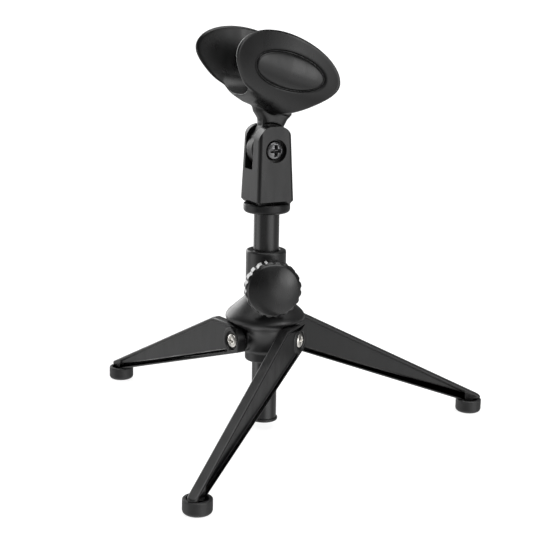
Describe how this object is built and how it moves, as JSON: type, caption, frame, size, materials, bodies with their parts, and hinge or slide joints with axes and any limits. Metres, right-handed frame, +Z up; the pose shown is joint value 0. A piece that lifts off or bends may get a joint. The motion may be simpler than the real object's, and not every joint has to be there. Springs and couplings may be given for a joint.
{
  "type": "desktop microphone stand",
  "caption": "Desktop microphone stand: folding tripod base with flanged legs, sliding tube with a clamping knob, and a tilting, swivelling clip with two oval wings.",
  "frame": {"origin": "on the tube's axis at the level of the table that the feet stand on", "axes": "+Z up along the tube's axis; the front leg points roughly along -Y, and the picture is taken from -Y"},
  "size_m": [0.2551, 0.2533, 0.2519],
  "materials": {
    "hub_black": "satin black moulding",
    "leg_black": "satin black moulding",
    "knob_black": "semi-gloss black moulding",
    "swivel_black": "satin black moulding",
    "clip_black": "satin black flexible plastic",
    "foot_rubber": "matt black rubber",
    "tube_black": "semi-gloss black coating on steel",
    "ring_black": "satin black coating",
    "cap_black": "matt black",
    "screw_nickel": "bright nickel plate",
    "screw_black": "black oxide",
    "stud_steel": "zinc-plated steel",
    "washer_nylon": "natural nylon",
    "insert_brass": "turned brass"
  },
  "bodies": {
    "base": {"hub": "hub_black", "left_leg_screw": "screw_nickel", "left_leg_washer": "washer_nylon", "right_leg_screw": "screw_nickel", "right_leg_washer": "washer_nylon", "front_leg_screw": "screw_nickel", "front_leg_washer": "washer_nylon"},
    "mast": {"tube": "tube_black", "tube_cap": "cap_black"},
    "ring": {"lock_ring": "ring_black"},
    "swivel": {"swivel_body": "swivel_black", "thread_insert": "insert_brass", "tilt_screw": "screw_black", "tilt_nut": "stud_steel", "tilt_washers": "washer_nylon"},
    "clip": {"mic_clip": "clip_black"},
    "brake": {"brake_pad": "washer_nylon"},
    "clamp_knob": {"knob": "knob_black", "knob_stud": "stud_steel"},
    "left_leg_body": {"left_leg": "leg_black", "left_foot": "foot_rubber"},
    "right_leg_body": {"right_leg": "leg_black", "right_foot": "foot_rubber"},
    "front_leg_body": {"front_leg": "leg_black", "front_foot": "foot_rubber"}
  },
  "joints": [
    {"name": "tube_slide", "type": "slide", "parent": "base", "child": "mast", "axis": [0, 0, 1], "range_m": [-0.003, 0.038]},
    {"name": "ring_turn", "type": "hinge", "parent": "mast", "child": "ring", "pos_m": [0, 0, 0.143], "axis": [0, 0, 1], "range_deg": [-180, 180]},
    {"name": "swivel_turn", "type": "hinge", "parent": "mast", "child": "swivel", "pos_m": [0, 0, 0.155], "axis": [0, 0, 1], "range_deg": [-180, 180]},
    {"name": "clip_tilt", "type": "hinge", "parent": "swivel", "child": "clip", "pos_m": [0, 0, 0.1789], "axis": [0.4679, -0.8838, 0], "range_deg": [-90, 90]},
    {"name": "knob_turn", "type": "hinge", "parent": "brake", "child": "clamp_knob", "pos_m": [0.00439, -0.02492, 0.0973], "axis": [0.1736, -0.9848, 0], "range_deg": [0, 724]},
    {"name": "clamp_travel", "type": "slide", "parent": "base", "child": "brake", "axis": [0.1736, -0.9848, 0], "range_m": [0, 0.002]},
    {"name": "left_leg_fold", "type": "hinge", "parent": "base", "child": "left_leg_body", "pos_m": [-0.0009, 0.0012, 0.0608], "axis": [-0.8, -0.6, 0], "range_deg": [0, 70]},
    {"name": "right_leg_fold", "type": "hinge", "parent": "base", "child": "right_leg_body", "pos_m": [0.00149, 0.00018, 0.0608], "axis": [-0.1196, 0.9928, 0], "range_deg": [0, 70]},
    {"name": "front_leg_fold", "type": "hinge", "parent": "base", "child": "front_leg_body", "pos_m": [-0.00059, -0.00138, 0.0608], "axis": [0.9196, -0.3928, 0], "range_deg": [0, 70]}
  ],
  "couplings": [
    {"joint": "knob_turn", "follows": "clamp_travel", "rad_per_m": 6283.2}
  ]
}
